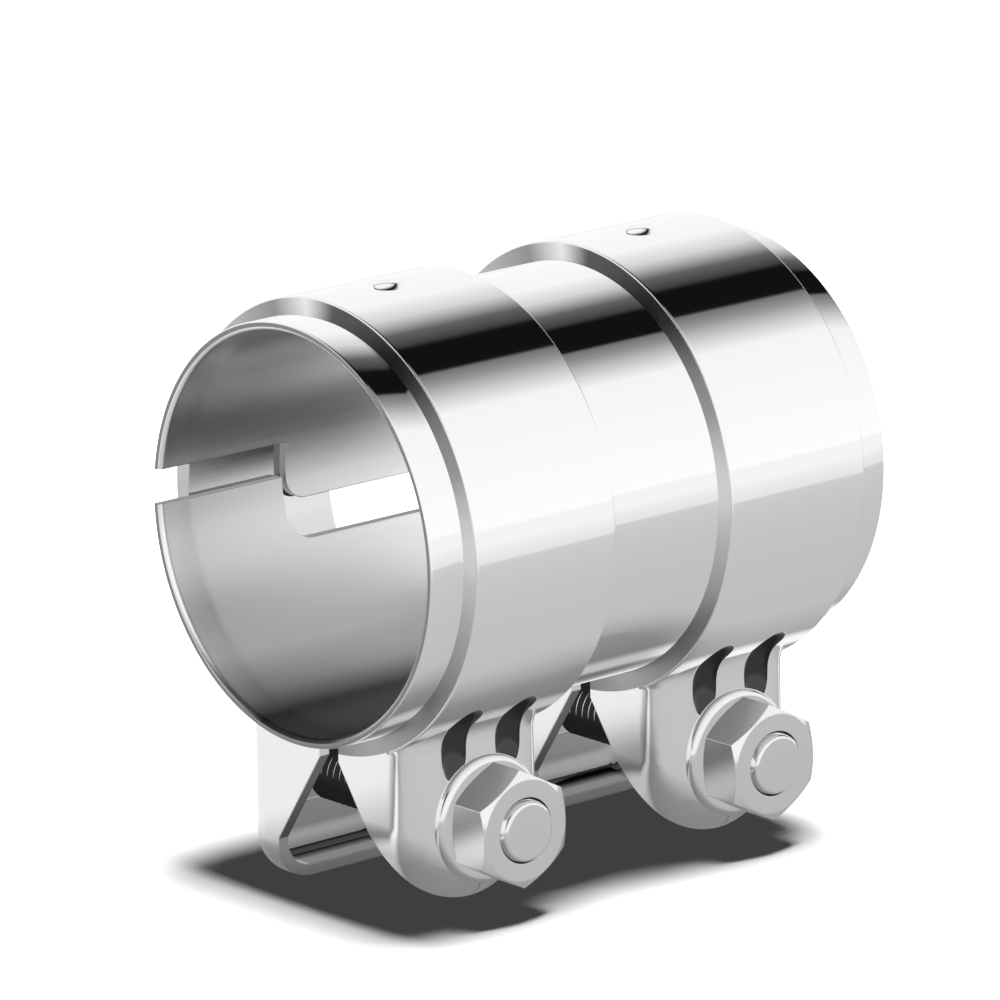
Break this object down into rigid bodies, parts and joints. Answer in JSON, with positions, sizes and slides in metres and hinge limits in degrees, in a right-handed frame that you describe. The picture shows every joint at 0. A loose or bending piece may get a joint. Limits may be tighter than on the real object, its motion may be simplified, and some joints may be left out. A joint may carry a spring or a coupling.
{
  "type": "exhaust pipe connector",
  "caption": "Split sheet-metal exhaust pipe sleeve with a stepped seam, held by bolted clamp bands with pressed lugs.",
  "frame": {"origin": "on the bore axis, halfway along the sleeve", "axes": "+Y along the pipe towards the rear mouth, +X towards the nuts, +Z away from the lugs"},
  "size_m": [0.0742, 0.096, 0.0988],
  "materials": {
    "sleeve_steel": "bright smooth rolled sheet, slightly polished",
    "band_steel": "bright polished pressed sheet, cut edges satin",
    "bolt_steel": "bright zinc plated",
    "nut_steel": "bright zinc plated"
  },
  "bodies": {
    "connector": {"sleeve": "sleeve_steel", "front_band": "band_steel", "rear_band": "band_steel", "front_bolt": "bolt_steel", "rear_bolt": "bolt_steel"},
    "front_washer_body": {"front_washer": "nut_steel"},
    "front_nut_body": {"front_nut": "nut_steel"},
    "rear_washer_body": {"rear_washer": "nut_steel"},
    "rear_nut_body": {"rear_nut": "nut_steel"}
  },
  "joints": [
    {"name": "front_washer_slide", "type": "slide", "parent": "connector", "child": "front_washer_body", "axis": [1, 0, 0], "range_m": [0, 0.0045]},
    {"name": "front_nut_turn", "type": "hinge", "parent": "front_washer_body", "child": "front_nut_body", "pos_m": [0.0268, -0.0266, -0.0462], "axis": [1, 0, 0], "range_deg": [0, 1080]},
    {"name": "rear_washer_slide", "type": "slide", "parent": "connector", "child": "rear_washer_body", "axis": [1, 0, 0], "range_m": [0, 0.0045]},
    {"name": "rear_nut_turn", "type": "hinge", "parent": "rear_washer_body", "child": "rear_nut_body", "pos_m": [0.0268, 0.0266, -0.0462], "axis": [1, 0, 0], "range_deg": [0, 1080]}
  ],
  "couplings": [
    {"joint": "front_nut_turn", "follows": "front_washer_slide", "rad_per_m": 4188.8},
    {"joint": "rear_nut_turn", "follows": "rear_washer_slide", "rad_per_m": 4188.8}
  ]
}
